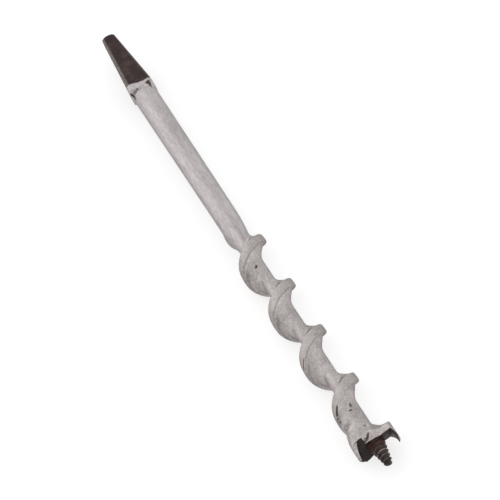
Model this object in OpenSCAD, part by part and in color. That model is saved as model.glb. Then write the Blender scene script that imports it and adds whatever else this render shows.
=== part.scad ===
// Solid-centre auger bit for a hand brace: tang, round shank, single flight, two-lipped head, lead screw.
// The axis is X, with the tip towards +X. The origin is on the axis where the flats of the tang end.
// Angles about the axis run from +Y towards +Z.

/* [Tang] */
// Length of the four-sided taper
tang_length = 28.8; // [24:0.1:40]
// Width across the flats at the shoulder
tang_base_width = 8.6; // [8.2:0.1:10]
// Width across the flats at the far end
tang_end_width = 4.4; // [4:0.1:6.4]
// Width across the blunted corners at the shoulder
tang_base_corners = 11.3; // [10.7:0.1:12]
// Width across the blunted corners at the far end
tang_end_corners = 5.7; // [5.2:0.1:7]
// Radius of the domed far end
tang_end_radius = 4; // [3.8:0.1:8]
// Length of the ball-shaped shoulder from the tang down to the round shank
shoulder_length = 2.8; // [2:0.1:6]
// Distance that the corners run on along the shoulder
corner_run = 0.3; // [0.1:0.1:0.8]

/* [Shank] */
// Length of the round bar between shoulder and twist
shank_length = 64; // [30:0.1:160]
// Diameter at the shoulder
shank_diameter = 8.3; // [7:0.1:9]
// Diameter where the twist begins
shank_twist_diameter = 7.8; // [6.6:0.1:8.4]

/* [Twist] */
// Advance of the flight in a turn at the head
twist_pitch = 24; // [18:0.2:30]
// How much less each turn further from the head advances
pitch_change = 0.58; // [0:0.02:1]
// Whole turns between the first full crest and the head
twist_turns = 4; // [2:1:7]
// Length over which the round bar becomes the first full crest
root_length = 16.5; // [12:0.5:24]
// Diameter over the flight
twist_diameter = 13.1; // [11.5:0.1:14]
// Diameter of the solid centre
core_diameter = 4.4; // [3.6:0.1:5.4]
// Angle that the outer face of the flight takes up
land_angle = 58; // [40:1:70]
// Angle of the hollow flank on the side that leads in cutting
lead_flank_angle = 95; // [70:1:115]
// Angle of the hollow flank on the side that trails
trail_flank_angle = 118; // [80:1:120]
// How hollow the flanks are
flank_power = 3; // [2:0.25:4]

/* [Head] */
// Angle of the main cutter from the side flats of the tang
head_angle = 6; // [0:1:89]
// Bore size: diameter over the cutters
head_diameter = 14.29; // [13:0.01:16]
// Diameter of the middle of the head
head_core_diameter = 6.8; // [6.2:0.1:7.4]
// Length over which the flight widens to the bore size
head_growth = 10; // [6:0.5:12]
// Length over which the solid centre thickens to the middle of the head
core_growth = 4; // [2:0.5:10]
// Angle of the hollow flank behind the main cutter
heel_flank_angle = 70; // [50:1:90]
// Angle of the hollow flank under the cutting edges
lip_flank_angle = 35; // [25:1:60]
// Length over which the leading flank steepens to that angle
lip_growth = 9; // [6:0.5:12]
// Length over which the second cutter grows out of the solid centre
stub_length = 13; // [8:0.5:16]
// Angle of the hollow flank behind the second cutter
stub_flank_angle = 80; // [50:1:90]
// Degrees that the second cutter turns in each millimetre of its length
stub_turn = 3; // [0:0.5:8]
// Diameter of the boss that carries the screw
boss_diameter = 5.8; // [5:0.1:6]
// Distance of the boss end behind the main cutting edge
boss_setback = 0.2; // [0:0.05:1]
// Angle about the axis, from the middle of the main cutter, where the second cutter begins
front_web_angle = 125; // [100:1:140]
// Angle about the axis, from the middle of the main cutter, where the second cutter ends
back_web_angle = 261; // [250:1:270]
// Distance from the end of the twist to the main cutting edge
main_drop = 2.8; // [2.6:0.05:6]
// Distance from the end of the twist to the second cutting edge
second_drop = 3.7; // [3.4:0.05:6]
// Clearance angle behind the main cutting edge
main_clearance = 20; // [8:1:20]
// Clearance angle behind the second cutting edge
second_clearance = 25; // [8:1:25]
// Distance by which the outer corner of the second cutting edge is ground off
corner_trim = 1.2; // [0.4:0.1:1.5]
// Height of the main scoring tip above its cutting edge
main_spur_height = 3.2; // [1.2:0.1:4]
// Height of the second scoring tip above its cutting edge
second_spur_height = 1.4; // [1.2:0.1:4]
// Distance of the scoring tips inside the bore circle
spur_inset = 0.65; // [0.2:0.05:1]
// Length of the bevel on the outer side of the scoring tips
spur_bevel = 1.5; // [0.6:0.1:2.4]
// Width of the chisel edge of the scoring tips
spur_edge = 0.3; // [0.1:0.05:0.6]
// Radial thickness of the spurs at the root
spur_thickness = 2.5; // [1.6:0.1:2.8]
// Radius of the hollow inner face of the spurs
spur_hollow = 9; // [6:0.5:14]

/* [Lead screw] */
// Length of the tapered screw
screw_length = 8.8; // [7:0.1:13]
// Diameter over the thread at the blunt tip
screw_tip_diameter = 2.7; // [1.4:0.1:3.4]
// Advance of the thread in one turn
screw_pitch = 1.6; // [1.2:0.1:2.4]
// Depth of the thread
screw_depth = 0.55; // [0.3:0.05:0.7]

/* [Hidden] */

polished = [0.72, 0.69, 0.68];
textured = [0.66, 0.63, 0.61];
scaled = [0.26, 0.22, 0.2];
blackened = [0.2, 0.18, 0.18];
fine = 96;

// Ball of the shoulder: through the corners of the tang's base and the rim of the shank
corner_side = min(tang_base_width, tang_base_corners * sqrt(2) - tang_base_width);
corner_r = norm([tang_base_width, corner_side]) / 2;
ball_x = (pow(shoulder_length, 2) - pow(corner_run, 2) + pow(shank_diameter / 2, 2) - pow(corner_r, 2))
    / (2 * (shoulder_length - corner_run));
ball_r = norm([shoulder_length - ball_x, shank_diameter / 2]);

shank_x = shoulder_length;
twist_x = shank_x + shank_length;
full_x = twist_x + root_length;
head_x = full_x + twist_turns * (twist_pitch - pitch_change * twist_turns / 2);
head_r = head_diameter / 2;
main_edge = head_x + main_drop;
second_edge = head_x + second_drop;
boss_r = boss_diameter / 2;

// Half the thickness of a cutter at its outer face, where the cutting edge and the heel lie
lip_half = head_r * sin(land_angle / 2);
screw_x = main_edge - boss_setback;

// Rings along the twist, and points from the land of the flight round to the far side
ring_step = 0.9;
land_steps = 4;
flank_steps = 14;
flank_crowding = 1.25;

// 0 before the start, 1 after the end, and a smooth rise between
function rise(x, start, end) =
    let (t = min(1, max(0, (x - start) / (end - start))))
    t * t * (3 - 2 * t);

// Places from start to end in equal steps of about ring_step
function places(start, end) =
    let (count = max(2, round((end - start) / ring_step)))
    [for (i = [0 : count]) start + (end - start) * i / count];

// Share of the flight's height at an angle from its middle, by the angles of its two flanks
function lobe(angle, lead_angle, trail_angle) =
    let (past_land = abs(angle) - land_angle / 2)
    let (flank_angle = angle > 0 ? lead_angle : trail_angle)
    past_land <= 0 ? 1 : pow(max(0, 1 - past_land / flank_angle), flank_power);

// Angle of the middle of the flight from the main cutter
function flight_angle(x) =
    let (away = head_x - x)
    -720 * away / (twist_pitch + sqrt(pow(twist_pitch, 2) - 2 * pitch_change * away));

// Radius of the solid centre: the round bar thins to it, and it thickens again in the head
function core_r(x) =
    let (thinned = rise(x, twist_x, twist_x + 1.5 * root_length))
    let (thickened = rise(x, head_x - core_growth, head_x))
    shank_twist_diameter / 2 * (1 - thinned)
    + core_diameter / 2 * (thinned - thickened)
    + head_core_diameter / 2 * thickened;

// Radius over the flight: it rises out of the round bar, and widens to the bore size at the head
function flight_r(x) =
    let (risen = rise(x, twist_x + root_length / 3, full_x))
    let (widened = rise(x, head_x - head_growth, head_x - head_growth / 3))
    shank_twist_diameter / 2 * (1 - risen)
    + twist_diameter / 2 * (risen - widened)
    + head_r * widened;

// Radius over the second cutter, which starts at the centre
function second_r(x) =
    let (short = min(1, (head_x - x) / stub_length))
    core_r(x) + (head_r - core_r(x)) * (1 - pow(short, 2));

// Angle from the middle of the second cutter (-180 to 180), by the angle from the middle of the flight
function from_second(x, angle) =
    let (turned = angle + flight_angle(x) + stub_turn * (head_x - x) - 180)
    turned - 360 * floor((turned + 180) / 360);

// Radius of the bar's outline at a place, by the angle from the middle of the flight (-180 to 180)
function outline_r(x, angle) =
    let (core = core_r(x))
    let (headed = rise(x, head_x - head_growth, head_x - head_growth / 3))
    let (lipped = rise(x, head_x - lip_growth, head_x))
    let (lead_angle = lead_flank_angle * (1 - lipped) + lip_flank_angle * lipped)
    let (trail_angle = trail_flank_angle * (1 - headed) + heel_flank_angle * headed)
    max(
        core + (flight_r(x) - core) * lobe(angle, lead_angle, trail_angle),
        core + (second_r(x) - core) * lobe(from_second(x, angle), lead_angle, stub_flank_angle)
    );

// Angles of the points of a ring: crowded where the flanks meet the lands
half_turn_angles = concat(
    [for (i = [0 : land_steps / 2]) land_angle * i / land_steps],
    [for (i = [1 : flank_steps]) land_angle / 2 + (180 - land_angle) * pow(i / flank_steps, flank_crowding)],
    [for (i = [1 : land_steps / 2]) 180 - land_angle / 2 + land_angle * i / land_steps]
);
turn_steps = len(half_turn_angles) - 1;
ring_angles = concat(half_turn_angles, [for (i = [turn_steps - 1 : -1 : 1]) -half_turn_angles[i]]);

// One ring of points in the plane across the axis, with the middle of the flight at an angle
function ring(x, turned) = [
    for (angle = ring_angles)
    outline_r(x, angle) * [cos(angle + turned), sin(angle + turned)]
];

// Closed solid through rings of points: sides in triangles and a flat face at each end
module loft(stations, rings) {
    size = len(rings[0]);
    last = (len(rings) - 1) * size;
    points = [for (i = [0 : len(rings) - 1]) for (p = rings[i]) [stations[i], p[0], p[1]]];
    sides = [
        for (i = [0 : len(rings) - 2])
        for (j = [0 : size - 1])
        let (a = i * size + j)
        let (b = i * size + (j + 1) % size)
        each [[a, a + size, b + size], [a, b + size, b]]
    ];
    start_face = [[for (j = [0 : size - 1]) j]];
    end_face = [[for (j = [size - 1 : -1 : 0]) last + j]];
    polyhedron(points, concat(start_face, sides, end_face));
}

module twisted_bar(start, end) {
    stations = places(start, end);
    loft(stations, [for (x = stations) ring(x, head_angle + flight_angle(x))]);
}

// Turns a profile of [distance along the axis, radius] about the axis
module turned(profile) {
    rotate([90, 0, 90])
    rotate_extrude($fn = fine)
    polygon([for (p = profile) [p[1], p[0]]]);
}

// Two opposite faces of the tang, carried on under the shoulder
module taper(base_width, end_width) {
    run_on = base_width + (base_width - end_width) * shoulder_length / tang_length;
    rotate([90, 0, 0])
    linear_extrude(height = 2 * tang_base_corners, center = true)
    polygon([
        [-tang_length, -end_width / 2],
        [shoulder_length, -run_on / 2],
        [shoulder_length, run_on / 2],
        [-tang_length, end_width / 2]
    ]);
}

// The part of a shape that lies inside the four flats and the four blunted corners
module squared() {
    intersection() {
        children();
        taper(tang_base_width, tang_end_width);
        rotate([90, 0, 0]) taper(tang_base_width, tang_end_width);
        rotate([45, 0, 0]) taper(tang_base_corners, tang_end_corners);
        rotate([135, 0, 0]) taper(tang_base_corners, tang_end_corners);
    }
}

// Square block about the axis
module block(start, end) {
    translate([start, -tang_base_corners, -tang_base_corners])
    cube([end - start, 2 * tang_base_corners, 2 * tang_base_corners]);
}

module tang() {
    dome_x = tang_end_radius - tang_length;
    color(scaled)
    difference() {
        squared() block(-tang_length, 0);
        difference() {
            block(-2 * tang_length, dome_x);
            translate([dome_x, 0, 0]) sphere(r = tang_end_radius, $fn = fine);
        }
    }
}

module tang_shoulder() {
    color(polished)
    intersection() {
        squared() block(0, shoulder_length);
        translate([ball_x, 0, 0]) sphere(r = ball_r, $fn = fine);
    }
}

module shank() {
    color(polished)
    turned([
        [shank_x, 0],
        [shank_x, shank_diameter / 2],
        [twist_x, shank_twist_diameter / 2],
        [twist_x, 0]
    ]);
}

module twist_root() {
    color(polished)
    twisted_bar(twist_x, full_x);
}

module twist() {
    color(textured)
    twisted_bar(full_x, head_x);
}

module head_core() {
    color(blackened)
    translate([head_x, 0, 0])
    rotate([0, 90, 0])
    cylinder(r = boss_r, h = screw_x - head_x, $fn = fine);
}

// Everything behind the cutting edge of the cutter on the +Y side
module under_clearance(edge, clearance) {
    reach = head_diameter;
    far_lip = edge + (reach - lip_half) * tan(clearance);
    far_heel = edge - (reach + lip_half) * tan(clearance);
    rotate([90, 0, 0])
    linear_extrude(height = 2 * reach, center = true)
    polygon([[head_x, -reach], [far_heel, -reach], [far_lip, reach], [head_x, reach]]);
}

// Cutter on the +Y side: the twist's section, with its flight at an angle, carried on round the middle
module cutter(edge, clearance, turned) {
    intersection() {
        difference() {
            translate([head_x, 0, 0])
            rotate([90, 0, 90])
            linear_extrude(height = 2 * head_diameter)
            polygon(ring(head_x, turned));
            translate([head_x, 0, 0])
            rotate([0, 90, 0])
            cylinder(r = boss_r, h = 3 * head_diameter, $fn = fine, center = true);
        }
        under_clearance(edge, clearance);
    }
}

// Wedge of the head that belongs to the second cutter, with the main cutter on the +Y side
module second_share() {
    reach = 2 * head_diameter;
    steps = 4;
    rim = [
        for (i = [0 : steps])
        let (angle = front_web_angle + (back_web_angle - front_web_angle) * i / steps)
        reach * [cos(angle), sin(angle)]
    ];
    translate([head_x - reach, 0, 0])
    rotate([90, 0, 90])
    linear_extrude(height = 2 * reach)
    polygon(concat([[0, 0]], rim));
}

// Takes the outer corner of a cutting edge on the +Y side off a shape
module trimmed(edge) {
    rim = head_r * cos(land_angle / 2);
    low = [edge - corner_trim, rim, lip_half];
    end = [edge, rim - corner_trim, lip_half];
    inner = [edge + corner_trim / 4, head_r, lip_half / 4];
    slope = cross(end - low, inner - low);
    normal = slope / norm(slope);
    difference() {
        children();
        translate(low)
        rotate(a = acos(normal[0]), v = cross([1, 0, 0], normal))
        translate([0, -head_diameter, -head_diameter])
        cube(2 * head_diameter);
    }
}

// Spur on the +Y side: a tooth on the rim, with a hollow inner face
module spur(edge, clearance, height) {
    heel_x = edge - 2 * lip_half * tan(clearance);
    tip_x = edge + height;
    tip = [tip_x, head_r - spur_inset - spur_edge];
    root = [heel_x, head_r - spur_thickness];
    chord = norm(tip - root);
    across = [tip[1] - root[1], root[0] - tip[0]] / chord;
    hollow_centre = (tip + root) / 2 + across * sqrt(pow(spur_hollow, 2) - pow(chord / 2, 2));
    reach = 2 * head_diameter;
    profile = [
        [heel_x, 0],
        [tip_x + spur_bevel, 0],
        [tip_x + spur_bevel, head_r - 2 * spur_inset],
        [tip_x - spur_bevel, head_r],
        [tip_x - spur_bevel, reach],
        [heel_x, reach]
    ];
    difference() {
        intersection() {
            translate([heel_x, 0, 0])
            rotate([0, 90, 0])
            cylinder(r = head_r, h = reach, $fn = fine);
            rotate([90, 0, 0])
            linear_extrude(height = reach, center = true)
            polygon([[edge, lip_half], [heel_x, -lip_half], [tip_x, -lip_half / 4]]);
            linear_extrude(height = reach, center = true)
            polygon(profile);
        }
        translate(hollow_centre)
        cylinder(r = spur_hollow, h = reach, $fn = fine, center = true);
    }
}

// Main cutter's place about the axis, and the second's on the opposite side
module at_main() {
    rotate([head_angle, 0, 0]) children();
}

module at_second() {
    rotate([head_angle + 180, 0, 0]) children();
}

module main_lip() {
    color(textured)
    at_main()
    difference() {
        cutter(main_edge, main_clearance, 0);
        second_share();
    }
}

module second_lip() {
    color(textured)
    intersection() {
        at_second() trimmed(second_edge) cutter(second_edge, second_clearance, 180);
        at_main() second_share();
    }
}

module main_spur() {
    color(blackened) at_main() spur(main_edge, main_clearance, main_spur_height);
}

module second_spur() {
    color(blackened)
    at_second()
    trimmed(second_edge)
    spur(second_edge, second_clearance, second_spur_height);
}

// Tapered screw with a single right-hand thread
module lead_screw() {
    facets = 24;
    rows_per_turn = 8;
    count = ceil(screw_length / screw_pitch * rows_per_turn);
    stations = [for (i = [0 : count]) screw_x + screw_length * i / count];
    rings = [
        for (x = stations)
        let (along = (x - screw_x) / screw_length)
        let (crest = (boss_diameter * (1 - along) + screw_tip_diameter * along) / 2)
        [
            for (j = [0 : facets - 1])
            let (phase = (x - screw_x) / screw_pitch - j / facets)
            let (ridge = abs(2 * (phase - floor(phase)) - 1))
            (crest - screw_depth * ridge) * [cos(360 * j / facets), sin(360 * j / facets)]
        ]
    ];
    color(blackened) loft(stations, rings);
}

tang();
tang_shoulder();
shank();
twist_root();
twist();
head_core();
main_lip();
second_lip();
main_spur();
second_spur();
lead_screw();
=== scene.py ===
"""Dresses a solid-centre auger bit for a hand brace.

The bit lies along X, with its lead screw towards +X and the flats of its tang square to Y and Z.
Sizes are in millimetres, and angles are in degrees about X, from +Y. Finished pieces are in metres.
"""

from __future__ import annotations

import logging
import math
from dataclasses import dataclass
from enum import Enum

import bpy
import numpy as np
from mathutils import Matrix, Vector

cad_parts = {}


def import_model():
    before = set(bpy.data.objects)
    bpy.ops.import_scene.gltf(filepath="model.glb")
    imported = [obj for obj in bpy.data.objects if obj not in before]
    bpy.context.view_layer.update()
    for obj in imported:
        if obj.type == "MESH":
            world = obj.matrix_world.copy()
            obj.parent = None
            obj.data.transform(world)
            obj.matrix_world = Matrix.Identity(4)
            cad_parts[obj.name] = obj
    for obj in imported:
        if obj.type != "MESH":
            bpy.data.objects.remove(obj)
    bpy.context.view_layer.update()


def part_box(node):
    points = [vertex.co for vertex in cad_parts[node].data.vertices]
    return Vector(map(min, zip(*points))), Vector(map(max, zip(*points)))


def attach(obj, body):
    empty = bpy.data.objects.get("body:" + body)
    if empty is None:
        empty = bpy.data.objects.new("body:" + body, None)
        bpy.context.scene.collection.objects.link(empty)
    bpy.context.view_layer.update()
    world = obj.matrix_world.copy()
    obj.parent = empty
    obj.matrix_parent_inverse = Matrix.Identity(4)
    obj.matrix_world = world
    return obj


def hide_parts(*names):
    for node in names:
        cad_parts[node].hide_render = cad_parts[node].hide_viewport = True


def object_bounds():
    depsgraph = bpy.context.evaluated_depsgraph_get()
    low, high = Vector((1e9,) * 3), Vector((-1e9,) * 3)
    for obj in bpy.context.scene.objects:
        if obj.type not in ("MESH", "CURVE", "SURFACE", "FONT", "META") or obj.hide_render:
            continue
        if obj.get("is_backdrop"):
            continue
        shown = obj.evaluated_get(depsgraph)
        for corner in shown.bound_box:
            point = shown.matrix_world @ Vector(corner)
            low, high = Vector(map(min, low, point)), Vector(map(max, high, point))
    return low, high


LOG = logging.getLogger("auger_bit")
BODY = "root"

MM = 0.001
HALF = 0.5
RIGHT_ANGLE = 90.0
HALF_TURN = 180.0
FULL_TURN = 360.0
TINY = 1e-9
CUT_TOLERANCE = 1e-5
ON_CUT = 1e-3
SHARP_EDGE = 28.0
ROUNDING_FACES = 2
LEAST_RINGS = 3
MIX_FIRST, MIX_SECOND, MIX_RESULT = 6, 7, 2

FORWARD = Vector((1.0, 0.0, 0.0))
ACROSS = Vector((0.0, 1.0, 0.0))
UP = Vector((0.0, 0.0, 1.0))
WHITE = (1.0, 1.0, 1.0)

Array = np.ndarray
Colour = tuple[float, float, float]
Direction = tuple[float, float, float]
Span = tuple[float, float]
Piece = bpy.types.Object
Socket = bpy.types.NodeSocket
Feeds = dict[int | str, object]


class Side(Enum):
    """The two cutters of the head, by their angle about the axis."""

    MAIN = 0.0
    SECOND = 180.0


class Carving(Enum):
    """What a cutting shape does to a piece."""

    TAKE_OUT = "DIFFERENCE"
    KEEP_INSIDE = "INTERSECT"


class Slot(Enum):
    """The record's material slots."""

    SCALED = "scaled_steel"
    POLISHED = "polished_steel"
    GROUND = "ground_steel"
    DARK = "dark_steel"


class Coat(Enum):
    """Numbers of a cutter's or a spur's other finishes, after that of its body."""

    FACE = 1
    EDGE = 2


def rise(x: Array, start: float, end: float) -> Array:
    """Gives a smooth rise from 0 at the start to 1 at the end."""
    t = np.clip((x - start) / (end - start), 0.0, 1.0)
    return t * t * (3.0 - 2.0 * t)


def soft_min(a: Array, b: Array, blend: float | Array) -> Array:
    """Gives the lesser of two sizes, rounded where they differ by less than the blend."""
    near = np.maximum(blend - np.abs(a - b), 0.0) / blend
    return np.minimum(a, b) - near * near * blend / 4.0


def mix(first: float, last: float, share: Array) -> Array:
    """Goes from one size to another by a share from 0 to 1."""
    return first * (1 - share) + last * share


def staged(first: float, middle: float, last: float, begun: Array, ended: Array) -> Array:
    """Gives a radius that goes from one diameter to a second, and then on to a third."""
    return first / 2 * (1 - begun) + middle / 2 * (begun - ended) + last / 2 * ended


def wrapped(angle: Array) -> Array:
    """Brings angles into the turn from -180 to 180."""
    return (angle + HALF_TURN) % FULL_TURN - HALF_TURN


def opaque(colour: Colour) -> tuple[float, float, float, float]:
    """Adds full cover to a colour."""
    return (*colour, 1.0)


def deselect_all() -> None:
    """Leaves nothing selected in object mode."""
    bpy.ops.object.select_all(action="DESELECT")


def select_only(piece: Piece) -> None:
    """Makes one object the only selected and active one.

    Args:
        piece: the object.
    """
    deselect_all()
    piece.select_set(True)
    bpy.context.view_layer.objects.active = piece


def apply_place() -> None:
    """Writes the place, turn and scale of the selected object into its mesh."""
    bpy.ops.object.transform_apply(location=True, rotation=True, scale=True)


def coordinates(piece: Piece) -> Array:
    """Reads a piece's points as rows of x, y and z."""
    return np.array([point.co for point in piece.data.vertices], dtype=float)


def edge_ends(piece: Piece) -> Array:
    """Reads the numbers of the two points that each edge of a piece joins."""
    return np.array([edge.vertices[:] for edge in piece.data.edges])


def pick_edges(piece: Piece, chosen: Array) -> None:
    """Opens a piece for editing with some of its edges selected.

    Args:
        piece: object to edit.
        chosen: True for each edge that is selected.
    """
    select_only(piece)
    bpy.ops.object.mode_set(mode="EDIT")
    bpy.ops.mesh.select_mode(type="EDGE")
    bpy.ops.mesh.select_all(action="DESELECT")
    bpy.ops.object.mode_set(mode="OBJECT")
    piece.data.edges.foreach_set("select", chosen)
    bpy.ops.object.mode_set(mode="EDIT")


def cut_away(piece: Piece, point: Vector, normal: Vector) -> None:
    """Cuts off what lies in front of a plane and closes the cut.

    Args:
        piece: object to cut.
        point: a point of the plane.
        normal: direction of the part that is removed.
    """
    select_only(piece)
    bpy.ops.object.mode_set(mode="EDIT")
    bpy.ops.mesh.select_all(action="SELECT")
    bpy.ops.mesh.bisect(
        plane_co=point, plane_no=normal, use_fill=True, clear_outer=True, threshold=CUT_TOLERANCE
    )
    bpy.ops.object.mode_set(mode="OBJECT")


def carve(piece: Piece, cutter: Piece, how: Carving) -> None:
    """Cuts a piece with another shape, which is used up.

    Args:
        piece: object to cut.
        cutter: closed shape to cut with.
        how: whether the inside of the shape goes or stays.
    """
    select_only(piece)
    cut = piece.modifiers.new("carving", "BOOLEAN")
    cut.operation = how.value
    cut.solver = "EXACT"
    cut.object = cutter
    bpy.ops.object.modifier_apply(modifier=cut.name)
    bpy.data.objects.remove(cutter)


def add_cylinder(name: str, radius: float, start: float, end: float, sides: int) -> Piece:
    """Adds a closed cylinder round the axis.

    Args:
        name: name of the object.
        radius: its radius.
        start: place of its first end.
        end: place of its other end.
        sides: number of sides.

    Returns:
        The new object.
    """
    deselect_all()
    bpy.ops.mesh.primitive_cylinder_add(
        vertices=sides,
        radius=radius,
        depth=end - start,
        location=((start + end) / 2, 0.0, 0.0),
        rotation=(0.0, math.pi / 2, 0.0),
    )
    piece = bpy.context.object
    piece.name = name
    piece.data.name = name
    apply_place()
    return piece


def soften_edges(piece: Piece, width: float) -> None:
    """Rounds the sharp edges of a piece.

    Args:
        piece: object to soften.
        width: width of the rounding.
    """
    select_only(piece)
    bevel = piece.modifiers.new("softened edges", "BEVEL")
    bevel.width = width
    bevel.segments = ROUNDING_FACES
    bevel.limit_method = "ANGLE"
    bevel.angle_limit = math.radians(SHARP_EDGE)
    bevel.use_clamp_overlap = True
    bpy.ops.object.modifier_apply(modifier=bevel.name)


def soften_cut(piece: Piece, point: Vector, normal: Vector, width: float) -> None:
    """Rounds the rim of a flat cut.

    Args:
        piece: object to soften.
        point: a point of the cut.
        normal: direction that the cut faces.
        width: width of the rounding.
    """
    height = (coordinates(piece) - np.array(point)) @ np.array(normal)
    on_cut = np.abs(height) < ON_CUT
    pick_edges(piece, on_cut[edge_ends(piece)].all(axis=1))
    bpy.ops.mesh.bevel(offset=width, segments=ROUNDING_FACES, affect="EDGES", clamp_overlap=True)
    bpy.ops.object.mode_set(mode="OBJECT")


def finish_faces(piece: Piece, facing: Vector, spread: float, coat: Coat) -> None:
    """Gives the faces that look one way another of the piece's finishes.

    Args:
        piece: object whose faces are dressed.
        facing: direction in which the faces look.
        spread: largest angle from that direction.
        coat: the finish that they get.
    """
    least = math.cos(math.radians(spread))
    for face in piece.data.polygons:
        if face.normal.dot(facing) > least:
            face.material_index = coat.value


class Bench:
    """Places and joins the nodes of one shader tree."""

    def __init__(self, tree: bpy.types.NodeTree) -> None:
        """Starts with an empty tree."""
        self.tree = tree
        tree.nodes.clear()

    def add(self, kind: str, feeds: Feeds | None = None, **settings: object) -> bpy.types.Node:
        """Adds a node of a kind with its settings, and feeds its sockets.

        Args:
            kind: Blender's name of the node.
            feeds: another socket or a plain value for its sockets, by name or number.
            settings: properties of the node.

        Returns:
            The new node.
        """
        node = self.tree.nodes.new(kind)
        for name, value in settings.items():
            setattr(node, name, value)
        for name, source in (feeds or {}).items():
            if isinstance(source, Socket):
                self.tree.links.new(source, node.inputs[name])
            else:
                node.inputs[name].default_value = source
        return node

    def sum(self, operation: str, first: object, second: object) -> Socket:
        """Works out one number from two."""
        return self.add("ShaderNodeMath", {0: first, 1: second}, operation=operation).outputs[0]

    def vector(self, operation: str, first: object, second: object) -> bpy.types.Node:
        """Works out a vector or a number from two vectors."""
        return self.add("ShaderNodeVectorMath", {0: first, 1: second}, operation=operation)

    def band(self, value: object, low: float, high: float) -> Socket:
        """Turns a value into a smooth step from 0 at low to 1 at high."""
        feeds = {"Value": value, "From Min": low, "From Max": high}
        return self.add("ShaderNodeMapRange", feeds, interpolation_type="SMOOTHSTEP").outputs["Result"]

    def spread(self, value: object, low: float, high: float) -> Socket:
        """Spreads a value from 0 to 1 over another range."""
        feeds = {"Value": value, "To Min": low, "To Max": high}
        return self.add("ShaderNodeMapRange", feeds).outputs["Result"]

    def blend(self, share: object, first: Socket | Colour, second: Colour) -> Socket:
        """Mixes two colours by a share.

        Args:
            share: how much of the second colour shows, from 0 to 1.
            first: colour at 0.
            second: colour at 1.

        Returns:
            The mixed colour.
        """
        start = first if isinstance(first, Socket) else opaque(first)
        feeds = {0: share, MIX_FIRST: start, MIX_SECOND: opaque(second)}
        return self.add("ShaderNodeMix", feeds, data_type="RGBA").outputs[MIX_RESULT]

    def mottle(self, place: Socket, size: float, detail: float, rough: float) -> Socket:
        """Lays noise with spots of about a size."""
        feeds = {"Vector": place, "Scale": 1.0 / size, "Detail": detail, "Roughness": rough}
        return self.add("ShaderNodeTexNoise", feeds).outputs["Fac"]

    def attribute(self, name: str) -> Socket:
        """Reads a mask that is painted on the piece."""
        return self.add("ShaderNodeAttribute", attribute_name=name).outputs["Fac"]

    def millimetres(self) -> Socket:
        """Gives the place on the piece, in millimetres."""
        feeds = {0: self.add("ShaderNodeTexCoord").outputs["Object"], "Scale": 1.0 / MM}
        return self.add("ShaderNodeVectorMath", feeds, operation="SCALE").outputs[0]


@dataclass(frozen=True)
class SteelGrain:
    """The grain that every steel surface shows: broad clouds, specks and a fine grain."""

    detail: float = 2.0
    cloud_size: float = 4.0
    cloud_rough: float = 0.55
    speck_size: float = 0.65
    speck_rough: float = 1.0
    fine_size: float = 0.45
    fine_rough: float = 0.7
    cloud_tone: float = 0.35
    speck_tone: float = 0.65
    speck_height: float = 0.6
    fine_height: float = 0.4
    tone_band: Span = (0.36, 0.64)

    def make(self) -> bpy.types.NodeTree:
        """Builds the shared node group.

        Returns:
            A group from a place to a tone, a fine grain, broad clouds and a height.
        """
        tree = bpy.data.node_groups.new("steel_grain", "ShaderNodeTree")
        tree.interface.new_socket("Place", in_out="INPUT", socket_type="NodeSocketVector")
        for name in ("Tone", "Grain", "Cloud", "Height"):
            tree.interface.new_socket(name, in_out="OUTPUT", socket_type="NodeSocketFloat")
        bench = Bench(tree)
        place = bench.add("NodeGroupInput").outputs["Place"]
        cloud = bench.mottle(place, self.cloud_size, self.detail, self.cloud_rough)
        speck = bench.mottle(place, self.speck_size, self.detail, self.speck_rough)
        fine = bench.mottle(place, self.fine_size, self.detail, self.fine_rough)
        clouded = bench.sum("MULTIPLY", cloud, self.cloud_tone)
        tone = bench.sum("ADD", clouded, bench.sum("MULTIPLY", speck, self.speck_tone))
        tone = bench.band(tone, *self.tone_band)
        raised = bench.sum("MULTIPLY", speck, self.speck_height)
        height = bench.sum("ADD", raised, bench.sum("MULTIPLY", fine, self.fine_height))
        bench.add("NodeGroupOutput", {"Tone": tone, "Grain": fine, "Cloud": cloud, "Height": height})
        return tree


@dataclass(frozen=True, kw_only=True)
class Finish:
    """A steel surface: the shared grain, and what a kind of finish makes of it."""

    name: str
    roughness: Span
    grain_height: float = 0.05
    drawn_out: float = 1.0
    bump: float = 0.6

    def make(self, grain: bpy.types.NodeTree) -> bpy.types.Material:
        """Builds the material.

        Args:
            grain: the shared grain group.

        Returns:
            The finished material.
        """
        material = bpy.data.materials.new(self.name)
        material.use_nodes = True
        bench = Bench(material.node_tree)
        place = bench.vector("DIVIDE", bench.millimetres(), (self.drawn_out, 1.0, 1.0)).outputs[0]
        grained = bench.add("ShaderNodeGroup", {"Place": place}, node_tree=grain).outputs
        relief = {"Strength": self.bump, "Distance": self.grain_height * MM, "Height": grained["Height"]}
        feeds = self.feeds(bench, grained)
        feeds["Normal"] = bench.add("ShaderNodeBump", relief).outputs["Normal"]
        shader = bench.add("ShaderNodeBsdfPrincipled", feeds)
        bench.add("ShaderNodeOutputMaterial", {"Surface": shader.outputs["BSDF"]})
        return material

    def feeds(self, bench: Bench, grain: bpy.types.NodeOutputs) -> Feeds:
        """Gives what the finish feeds its shader with, by socket."""
        raise NotImplementedError


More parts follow.
